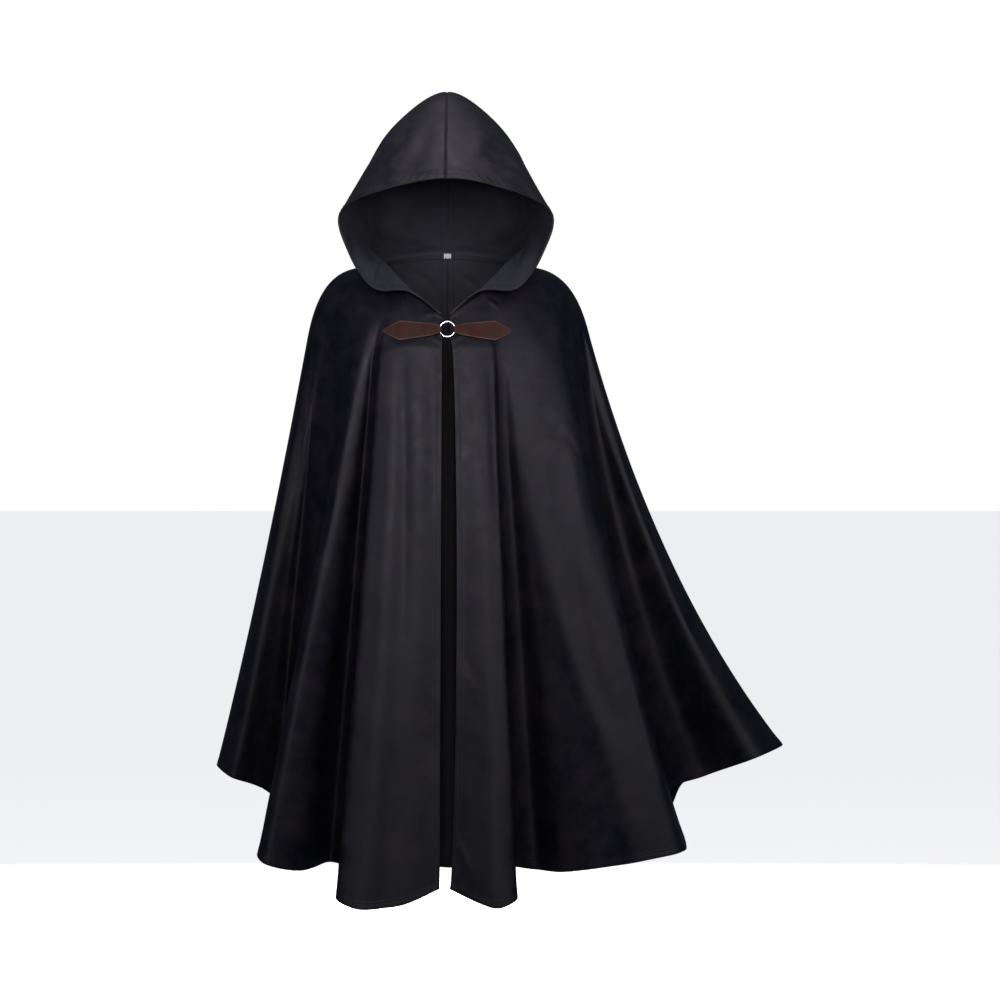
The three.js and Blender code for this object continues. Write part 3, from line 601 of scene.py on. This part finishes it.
def make_panel(name, folds, first, last, columns):
    """A panel between two shares of the hem. Its middle surface is moved out by the creases, and the outer
    and inner faces stand half a thickness off it, with the turned edges and the seams on them.
    Gives the panel, its outer points and its stitching."""
    share = np.linspace(first, last, 400)
    down = np.concatenate([np.linspace(0, 1, 30)[:-1], np.linspace(1, 2, 50)[:-1], np.linspace(2, 3, 180)])
    front = first == 0
    points = respaced(cloak_surface(folds, share, down), EDGE_LINES if front else SEAM_LINES, SEAM_LINES,
                      np.arange(1, columns + 1) / (columns + 1))
    points = respaced(points.transpose(1, 0, 2), SEAM_LINES, EDGE_LINES, ROW_SHARES).transpose(1, 0, 2)
    from_first, from_last = distances(points)
    if front and folds.side > 0:
        down_edge = np.clip((SWING_TOP - points[..., 2]) / SWING_LONG, 0, 1)
        points[..., 0] += SWING * np.sin(np.pi * down_edge) ** 0.5 * np.exp(-(from_first / SWING_REACH) ** 2)
    from_neck, from_hem = (d.T for d in distances(points.transpose(1, 0, 2)))
    across = normals(points, -folds.side)
    if last == 1:
        across[-1, :, 0] = 0
        across = unit(across)
        points[-1, :, 0] = 0
    creases = creased(points, across, CLOAK_CREASES) + slack(points)
    held = (1 - bell(from_neck, 0, 9)) * (1 - bell(from_last, 0, 12)) * (1 if front else 1 - bell(from_first, 0, 12))
    across[:, 0] = neck_mitre(folds, nearest_neck_turn(points[:, 0], folds.side))
    points = points + across * (creases * held)[..., None]
    hem = turned_edge(from_hem, from_first)
    forms = [hem, sewn_seam(from_last), sewn_seam(from_neck)]
    forms.append(turned_edge(from_first, from_neck) if front else sewn_seam(from_first))
    out, into = sum(form[0] for form in forms), sum(form[1] for form in forms)
    outer = points + across * (CLOTH / 2 + out)[..., None]
    inner = points - across * (CLOTH / 2 + into)[..., None]
    p, f, sides = wall(outer, inner, (0.7 if front else 0.05, 0.05, 0.05, 0.7))
    panel = make_piece(name, [(p, f, wall_uv(from_first, from_neck), sides)], wool, wool_reverse_painted_light)
    hem_line = -1 - EDGE_LINES.index(STITCHED)
    rows = [stitch_row(outer[:, hem_line], across[:, hem_line], **STITCH),
            stitch_row(inner[:, hem_line], -across[:, hem_line], **STITCH)]
    if front:
        edge_line = EDGE_LINES.index(STITCHED)
        rows.append(stitch_row(outer[edge_line, :hem_line], across[edge_line, :hem_line], **STITCH))
        rows.append(stitch_row(inner[edge_line, :hem_line], -across[edge_line, :hem_line], **STITCH))
    stitching = make_piece(f"{name}_stitching", rows, black_thread)
    return panel, outer, stitching


fronts = {}
for word, folds in (("right", right_folds), ("left", left_folds)):
    panel, fronts[word], stitching = make_panel(f"front_{word}_panel", folds, 0, folds.seam, 185)
    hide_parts(f"front_{word}")

# Back panels: the two halves of the back, of the same coating, joined by a seam down the centre back.
# Their neck edge is sewn to the hood, and they fall from the shoulder blades in folds like the front's.
for word, folds in (("right", right_folds), ("left", left_folds)):
    panel, outer, stitching = make_panel(f"back_{word}_panel", folds, folds.seam, 1, 150)
    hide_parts(f"back_{word}")

# Hood: two halves of the coating joined by a seam over the crown, set into the neck seam.
# The face edge is wide and rolls out below the cheeks like a lapel, so that its inside shows.
# It is turned in and topstitched, and the cloth just above the stitching is pulled into short wrinkles.
HOOD_CREASES = (
    ("front", 5, 1.9, ((-159, 108), (-140, 115), (-120, 122))),
    ("front", 4.5, 1.7, ((-122, 125), (-103, 133), (-80, 134))),
    ("front", 4.5, 1.8, ((-59, 143), (-38, 151), (-9, 153))),
    ("front", 4.5, 1.6, ((8, 157), (29, 155), (54, 146))),
    ("front", 5, 1.8, ((105, 119), (131, 109), (163, 93))),
    ("front", 16, 2.2, ((-96, 150), (-70, 196), (-52, 246))),
    ("front", 15, -1.8, ((-66, 142), (-44, 190), (-30, 236))),
    ("front", 17, 2.0, ((44, 158), (62, 200), (58, 244))),
    ("front", 14, -1.6, ((92, 138), (98, 172), (84, 212))),
    ("lapel", 5, 3.4, ((-123, -6), (-127, -24), (-130, -40))),
    ("lapel", 5, 3.0, ((124, 15), (126, -3), (130, -19))),
    ("lapel", 9, -2.6, ((-150, 40), (-144, 6), (-132, -30))),
    ("lapel", 9, -2.6, ((150, 50), (146, 14), (136, -22))),
    ("lapel", 7, 1.6, ((-96, -34), (-70, -52), (-48, -74))),
    ("lapel", 7, 1.5, ((58, -56), (82, -40), (104, -24))),
    ("left", 14, 2.4, ((-10, 96), (40, 88), (92, 104))),
    ("left", 13, -2.0, ((0, 60), (44, 58), (84, 72))),
    ("left", 15, 2.0, ((10, 190), (60, 176), (112, 180))),
    ("right", 14, 2.2, ((-16, 88), (34, 92), (90, 98))),
    ("right", 13, -2.1, ((4, 58), (46, 52), (88, 66))),
    ("right", 15, 2.1, ((14, 182), (66, 184), (110, 170))),
    ("back", 12, 2.2, ((-48, 44), (-66, 92), (-62, 142))),
    ("back", 12, 2.0, ((50, 42), (60, 86), (70, 136))),
)
# The hood's outside is a lighter copy of the panels' wool: painted light, so that it looks more brightly lit than
# the panels.
wool_painted_light = wool_cloth("wool_painted_light", (0.0100, 0.0104, 0.0145, 1), (0.0250, 0.0240, 0.0275, 1),
                         (0.0330, 0.0280, 0.0325, 1), 0.50)


def make_hood(name, folds):
    """One half of the hood, with its creases, its turned face edge, and its seams at the neck and crown."""
    dense = np.linspace(0, 1, 260)
    points = respaced(hood_surface(folds.side, dense, dense), EDGE_LINES, (0, 1, 3), np.arange(1, 91) / 91)
    points = respaced(points.transpose(1, 0, 2), SEAM_LINES, SEAM_LINES, np.arange(1, 121) / 121).transpose(1, 0, 2)
    from_face, from_nape = distances(points)
    from_neck, from_crown = (d.T for d in distances(points.transpose(1, 0, 2)))
    across = normals(points, folds.side)
    across[:, -1, 0] = 0
    across = unit(across)
    points[:, -1, 0] = 0
    creases = creased(points, across, HOOD_CREASES) + slack(points)
    held = (1 - bell(from_neck, 0, 9)) * (1 - bell(from_crown, 0, 9)) * (1 - bell(from_nape, 0, 25))
    across[:, 0] = neck_mitre(folds, nearest_neck_turn(points[:, 0], folds.side))
    across[-1] = across[-1, 0]
    points = points + across * (creases * held)[..., None]
    free = 1 - bell(from_nape, 0, 30)
    forms = [turned_edge(from_face, from_neck), sewn_seam(from_neck), sewn_seam(from_crown)]
    out, into = (free * sum(form[k] for form in forms) for k in range(2))
    outer = points + across * (CLOTH / 2 + out)[..., None]
    inner = points - across * (CLOTH / 2 + into)[..., None]
    p, f, sides = wall(outer, inner, (0.7, 0.0, 0.05, 0.05))
    hood = make_piece(name, [(p, f, wall_uv(from_face, from_neck), sides)], wool_painted_light, wool_reverse_painted_light)
    line = EDGE_LINES.index(STITCHED)
    rows = [stitch_row(outer[line, 2:-2], across[line, 2:-2], **STITCH),
            stitch_row(inner[line, 2:-2], -across[line, 2:-2], **STITCH)]
    stitching = make_piece(f"{name}_stitching", rows, black_thread)
    return hood, stitching


for word, folds in (("right", right_folds), ("left", left_folds)):
    hood, stitching = make_hood(f"hood_{word}_half", folds)
    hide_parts(f"hood_{word}")

# Clasp tabs: two pointed pieces of brown leather with bevelled edges lie on the fronts below the neck.
# The narrow end of each goes round the ring and back under itself, and a row of stitches holds it there.
# They are sewn to the cloth round their points.
RING_X, RING_Z, RING_RADIUS, WIRE = 3.5, -127.0, 13.3, 1.8
LEATHER, LOOP, DROOP, TAB_LENGTH = 2.2, 3.3, 3.0, 116.0
RING_HEIGHT, LIFTED = 8.1, 40.0
ring_low, ring_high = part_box("ring")
ring_y = (ring_low[1] + ring_high[1]) / 2 / MM
loop_turns = np.radians(np.linspace(108, 252, 5))
# From the point of a tab to the end that lies under it: the distance from the middle of the ring, the
# height of the leather's middle above the cloth, and the half width.
TAB_ROWS = np.array([
    (TAB_LENGTH, 1.6, 0.7), (100, 1.6, 8.8), (84, 1.7, 17), (72, 1.6, 15.6), (58, 1.7, 13.8), (46, 2.3, 12.4),
    (38, 3.9, 11.4), (26, 5.9, 9.6), (19, 9.2, 7.2), (RING_RADIUS, RING_HEIGHT + LOOP, 5.4),
    *[(RING_RADIUS + LOOP * np.cos(turn), RING_HEIGHT + LOOP * np.sin(turn), 5.3) for turn in loop_turns],
    (RING_RADIUS, RING_HEIGHT - LOOP, 5.4), (20, 3.0, 6.6), (29, 1.7, 8.6), (37, 1.6, 9.4),
])


def cloth_under(word):
    """The depth of the cloth behind each place of a tab: a cubic surface fitted to the front panel by least
    squares, moved forward to clear the panel's most forward point."""
    cloth = fronts[word].reshape(-1, 3)
    near = (np.abs(cloth[:, 0]) < 128) & (np.abs(cloth[:, 2] - RING_Z) < 20) & (cloth[:, 1] < -100)
    cloth = cloth[near]

    def terms(x, z):
        u, v = x / 100, (z - RING_Z) / 30
        return np.stack([u ** i * v ** j for i in range(4) for j in range(4 - i)], -1)

    weights = np.linalg.lstsq(terms(cloth[:, 0], cloth[:, 2]), cloth[:, 1], rcond=None)[0]
    clear = (cloth[:, 1] - terms(cloth[:, 0], cloth[:, 2]) @ weights).min()
    return lambda x, z: terms(x, z) @ weights + clear


def tab_places(side, depth, out, height, across, half):
    """Places on a tab: outward from the ring and across its width, drooping a little toward the point. It
    stands off the cloth by its height, and near the ring off the ring instead."""
    x = RING_X + side * out
    z = RING_Z + across * half - DROOP * np.clip(out - RING_RADIUS, 0, None) / TAB_LENGTH
    raised = np.clip(1 - (out - RING_RADIUS) / (LIFTED - RING_RADIUS), 0, 1) ** 2
    raised = np.where(out < RING_RADIUS, 1, raised)
    on_cloth, on_ring = depth(x, z) - height, ring_y - (height - RING_HEIGHT)
    return np.stack(np.broadcast_arrays(x, on_cloth + (on_ring - on_cloth) * raised, z), -1)


def make_tab(name, side, depth):
    """A tab as a profile carried along its strip, from its point round the ring to its hidden end: both
    faces stand half the leather off the middle, and the outer face falls away at its edges in a bevel."""
    run = np.concatenate([[0], np.cumsum(np.linalg.norm(np.diff(TAB_ROWS[:, :2], axis=0), axis=1))])
    at = np.sort(np.concatenate([np.linspace(0, run[-1], 150), run]))
    at = at[np.concatenate([[True], np.diff(at) > 0.05])]
    out, height = smooth(run, TAB_ROWS[:, :2], at).T[:, :, None]
    half = np.interp(at, run, TAB_ROWS[:, 2])[:, None]
    across = np.sin(np.linspace(-1, 1, 41) * np.pi / 2)
    middle = tab_places(side, depth, out, height, across, half)
    facing = normals(middle, side)
    inset = half * (1 - np.abs(across))
    bevel = 0.7 * step_down(inset, 0.2, 1.3)
    groove = 0.30 * bell(inset, 2.7, 0.5) * (at[:, None] < run[7])
    fold = 0.35 * bell(at[:, None], run[2] + 1.0, 1.3) + 0.3 * bell(at[:, None], run[6], 1.0)
    thick = LEATHER / 2 * np.clip(half / 3, 0.55, 1)
    outer = middle + facing * (thick - bevel - groove - fold)[..., None]
    inner = middle - facing * (thick - 0.3 * bevel)[..., None]
    points, faces, sides = wall(outer, inner, (0.3, 0.3, 0.35, 0.35))
    flat = wall_uv(at[:, None] + np.zeros_like(inset), 10 * (across + 1) + np.zeros_like(inset))
    tab = make_piece(name, [(points, faces, flat, sides)], leather)
    rows = []
    line = np.linspace(6.5, run[6] - 2, 120)
    width = np.interp(line, run, TAB_ROWS[:, 2])
    for edge in (-1, 1):
        share = edge * np.clip(1 - 2.7 / width, 0, 1)
        rows.append(stitches_on(outer, facing, at, across, line, share))
    rows.append(stitches_on(outer, facing, at, across, np.full(30, run[6] + 1.5), np.linspace(-0.74, 0.74, 30)))
    stitching = make_piece(f"{name}_stitching", rows, tan_thread)
    return tab


def stitches_on(outer, facing, at, across, line, share):
    """A row of stitches on a tab, through places given along the strip and across it."""
    i = np.clip(np.searchsorted(at, line), 1, len(at) - 1)
    j = np.clip(np.searchsorted(across, share), 1, len(across) - 1)
    s = ((line - at[i - 1]) / (at[i] - at[i - 1]))[:, None]
    t = ((share - across[j - 1]) / (across[j] - across[j - 1]))[:, None]

    def between(grid):
        low, high = (grid[i - 1, k] * (1 - s) + grid[i, k] * s for k in (j - 1, j))
        return low * (1 - t) + high * t

    return stitch_row(between(outer), between(facing), pitch=5.2, length=2.8, thick=0.7)


def tab_hide(name):
    """Reddish-brown leather: pores and fine cracks, redder and browner patches, and a paler edge that is a painted
    highlight along the bevels, uneven with wear. Along the strip the cloth map gives millimetres from the point, and
    across it 0 and 0.02 are the two edges."""
    material, shader, shade = new_material(name, Specular_IOR_Level=0.18)
    place = shade.node("ShaderNodeTexCoord", out=3)
    flat = shade.node("ShaderNodeUVMap", {"uv_map": "cloth"})
    along = shade.node("ShaderNodeSeparateXYZ", Vector=flat)
    across = shade.node("ShaderNodeSeparateXYZ", out=1, Vector=flat)
    pores = shade.node("ShaderNodeTexVoronoi", {"feature": "DISTANCE_TO_EDGE"}, Vector=place, Scale=700.0)
    blotches = shade.node("ShaderNodeTexNoise", Vector=place, Scale=60.0, Detail=4.0, Roughness=0.6)
    scuffs = shade.node("ShaderNodeTexNoise", Vector=place, Scale=260.0, Detail=5.0, Roughness=0.7)
    colour = colour_between(shade, blotches.between(0.38, 0.62), (0.046, 0.011, 0.005, 1), (0.038, 0.016, 0.008, 1))
    colour = colour_between(shade, scuffs.between(0.5, 0.8), colour, (0.055, 0.026, 0.014, 1))
    # The paler edge is a painted highlight along the bevels, made uneven by the scuffs as wear.
    edge = (across - 0.01).math("ABSOLUTE").between(0.0086, 0.0100) * (scuffs.between(0.2, 0.55) * 0.6 + 0.3)
    # The point is painted lighter and yellower: a painted highlight on its facet.
    point_highlight = along.between(0.033, 0.0) * 0.45
    colour = colour_between(shade, point_highlight, colour, (0.050, 0.036, 0.018, 1))
    colour = colour_between(shade, edge, colour, (0.15, 0.090, 0.055, 1))
    links = material.node_tree.links
    links.new(colour.socket, shader.inputs["Base Color"])
    links.new((blotches * 0.2 + 0.42).socket, shader.inputs["Roughness"])
    relief = pores.between(0.0, 0.25) * 0.6 + scuffs * 0.4
    bump = shade.node("ShaderNodeBump", Strength=0.4, Distance=0.0003, Height=relief)
    links.new(bump.socket, shader.inputs["Normal"])
    return material


leather = tab_hide("tab_hide")
tan_thread = sewing_thread("tan_thread", (0.004, 0.002, 0.002, 1), (0.012, 0.006, 0.004, 1))
for word, side in (("right", -1), ("left", 1)):
    tab = make_tab(f"clasp_tab_{word}", side, cloth_under(word))
    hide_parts(f"tab_{word}")

# Clasp ring: one ring of round steel wire, polished and chromed, that holds the two tabs together.
# It is closed by a weld behind, and it carries fine scratches from use.
def make_ring():
    """A torus: the wire's circle carried round the ring's circle."""
    round_ring, round_wire = np.linspace(0, 2 * np.pi, 121)[:-1, None], np.linspace(0, 2 * np.pi, 29)[None, :-1]
    reach = RING_RADIUS + WIRE * np.cos(round_wire)
    points = np.stack(np.broadcast_arrays(RING_X + reach * np.cos(round_ring), ring_y + WIRE * np.sin(round_wire),
                                          RING_Z + reach * np.sin(round_ring)), -1)
    index = np.arange(120 * 28).reshape(120, 28)
    beside, above = np.roll(index, -1, axis=0), np.roll(index, -1, axis=1)
    faces = np.stack([index, beside, np.roll(beside, -1, axis=1), above], -1).reshape(-1, 4)
    flat = np.broadcast_arrays(round_ring, round_wire)
    uv = np.stack(flat, -1).reshape(-1, 2) * MM
    return make_piece("clasp_ring", [(points.reshape(-1, 3), faces, uv, np.zeros(len(faces)))], chrome)


def bright_metal(name):
    """Chromed steel: nearly clean, with a faint cloudiness and hair scratches."""
    material, shader, shade = new_material(name, Metallic=1.0)
    place = shade.node("ShaderNodeTexCoord", out=3)
    cloud = shade.node("ShaderNodeTexNoise", Vector=place, Scale=120.0, Detail=3.0)
    hairs = shade.node("ShaderNodeTexNoise", Vector=place, Scale=1600.0, Detail=2.0)
    links = material.node_tree.links
    tint = colour_between(shade, cloud, (0.78, 0.79, 0.80, 1), (0.92, 0.92, 0.91, 1))
    links.new(tint.socket, shader.inputs["Base Color"])
    links.new((cloud * 0.14 + 0.08).socket, shader.inputs["Roughness"])
    bump = shade.node("ShaderNodeBump", Strength=0.12, Distance=0.0001, Height=hairs)
    links.new(bump.socket, shader.inputs["Normal"])
    return material


chrome = bright_metal("chrome_steel")
ring = make_ring()
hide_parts("ring")

# Neck label: a small blank tape of white satin, folded in at its ends and caught in the back neck seam.
# Two rows of white stitches hold its upper and lower edges to the cloth.
LABEL_THICK, LABEL_FORWARD = 0.7, 0.7
label_low, label_high = (np.array(corner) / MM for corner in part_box("neck_label"))


def woven_tape(name, dark, light):
    """Woven satin tape: fine threads each way as two waves, softly uneven."""
    material, shader, shade = new_material(name, Roughness=0.6, Specular_IOR_Level=0.35)
    place = shade.node("ShaderNodeTexCoord", out=3)
    over = shade.node("ShaderNodeTexWave", {"bands_direction": "X"}, Vector=place, Scale=420.0, Distortion=0.6)
    under = shade.node("ShaderNodeTexWave", {"bands_direction": "Z"}, Vector=place, Scale=520.0, Distortion=0.6)
    weave = over * 0.5 + under * 0.5
    soil = shade.node("ShaderNodeTexNoise", Vector=place, Scale=300.0, Detail=3.0)
    links = material.node_tree.links
    tone = weave * 0.5 + soil * 0.5
    links.new(colour_between(shade, tone, dark, light).socket, shader.inputs["Base Color"])
    bump = shade.node("ShaderNodeBump", Strength=0.4, Distance=0.0002, Height=weave)
    links.new(bump.socket, shader.inputs["Normal"])
    return material


def make_label():
    """A tape that leans with the cloth behind it: its ends are doubled, and it swells softly between its
    rows of stitches."""
    s, t = np.meshgrid(np.linspace(0, 1, 41), np.linspace(0, 1, 31), indexing="ij")
    low, high = label_low, label_high
    x = low[0] + (high[0] - low[0]) * s
    z = high[2] + (low[2] - high[2]) * t
    y = low[1] + (high[1] - low[1] - LABEL_THICK) * t - LABEL_FORWARD
    ends = step_down(np.minimum(s, 1 - s), 0.14, 0.03)
    swell = 0.5 * np.sin(np.pi * s) * np.sin(np.pi * t) - 0.25 * bell(np.minimum(t, 1 - t), 0.13, 0.04)
    front = np.stack([x, y - swell - 0.25 * ends, z], -1)
    back = np.stack([x, y + LABEL_THICK - 0.6 * swell, z], -1)
    points, faces, sides = wall(front, back, (0.25, 0.25, 0.25, 0.25))
    uv = wall_uv(x, z)
    label = make_piece("neck_label_tape", [(points, faces, uv, sides)], tape)
    toward = np.zeros_like(front[:, 0]) + (0, -1, 0)
    rows = [stitch_row(front[:, k], toward, pitch=1.9, length=1.3, thick=0.2) for k in (4, -5)]
    stitching = make_piece("neck_label_stitching", rows, white_thread)
    return label, stitching


tape = woven_tape("label_tape", (0.70, 0.69, 0.66, 1), (0.86, 0.86, 0.84, 1))
white_thread = sewing_thread("white_thread", (0.55, 0.54, 0.52, 1), (0.82, 0.82, 0.80, 1))
label, stitching = make_label()
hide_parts("neck_label")

# Studio: a pale floor and surround, with soft lights in front, on each side, above and behind.
scene = bpy.context.scene
scene.view_settings.view_transform = "Standard"
world = bpy.data.worlds.new("studio")
scene.world = world
world.use_nodes = True
surround = world.node_tree.nodes["Background"]
surround.inputs["Color"].default_value = (0.55, 0.64, 1, 1)
surround.inputs["Strength"].default_value = 0.09
studio = Shade(world.node_tree, None)
seen = studio.node("ShaderNodeBackground", Color=(1, 1, 1, 1), Strength=1.0)
seen_or_lit = studio.node("ShaderNodeMixShader", i0=studio.node("ShaderNodeLightPath"),
                          i1=Shade(world.node_tree, surround.outputs[0]), i2=seen)
world.node_tree.links.new(seen_or_lit.socket, world.node_tree.nodes["World Output"].inputs["Surface"])
floor_material, floor_shader, shade = new_material("floor", Roughness=0.9)
floor_shader.inputs["Base Color"].default_value = (0.9, 0.9, 0.9, 1)
floor_shader.inputs["Emission Color"].default_value = (1, 1, 1, 1)
floor_shader.inputs["Emission Strength"].default_value = 0.8
floor_mesh = bpy.data.meshes.new("floor")
floor_mesh.from_pydata([(-300, -300, -1.45), (300, -300, -1.45), (300, 300, -1.45), (-300, 300, -1.45)], [], [(0, 1, 2, 3)])
floor_mesh.materials.append(floor_material)
floor = bpy.data.objects.new("floor", floor_mesh)
scene.collection.objects.link(floor)
floor.visible_diffuse = floor.visible_glossy = False


def soft_light(name, place, aim, size, power, glossy=True):
    """A square lamp of that size that points from its place at the aim, and shows in gloss or not."""
    lamp = bpy.data.lights.new(name, "AREA")
    lamp.size, lamp.energy, lamp.color = size, power, (0.97, 0.90, 1)
    holder = bpy.data.objects.new(name, lamp)
    holder.location = place
    holder.rotation_euler = (Vector(aim) - Vector(place)).to_track_quat("-Z", "Y").to_euler()
    holder.visible_camera, holder.visible_glossy = False, glossy
    scene.collection.objects.link(holder)


soft_light("key", (-0.1, -1.35, 0.1), (0, 0, -0.35), 0.5, 6.5)
soft_light("key right", (1.1, -1.6, 0.15), (0, 0, -0.35), 0.6, 9)
soft_light("key left", (-1.1, -1.6, 0.15), (0, 0, -0.35), 0.6, 4)
soft_light("front", (0.09, -5.4, -0.1), (0, 0, 0), 0.3, 26)
soft_light("overhead", (0, -0.5, 2.4), (0, 0, 0.2), 1.2, 18)
soft_light("above", (0, 0.4, 2.6), (0, 0, 0), 1.6, 7)
soft_light("behind", (0, 3.0, 0.3), (0, 0, -0.4), 1.6, 190, glossy=False)

camera_data = bpy.data.cameras.new("camera")
camera_data.lens, camera_data.sensor_width = 120, 36
camera = bpy.data.objects.new("camera", camera_data)
camera.location = (0.096, -6.0, -0.427)
camera.rotation_euler = (np.pi / 2, 0, 0)
scene.collection.objects.link(camera)
scene.camera = camera
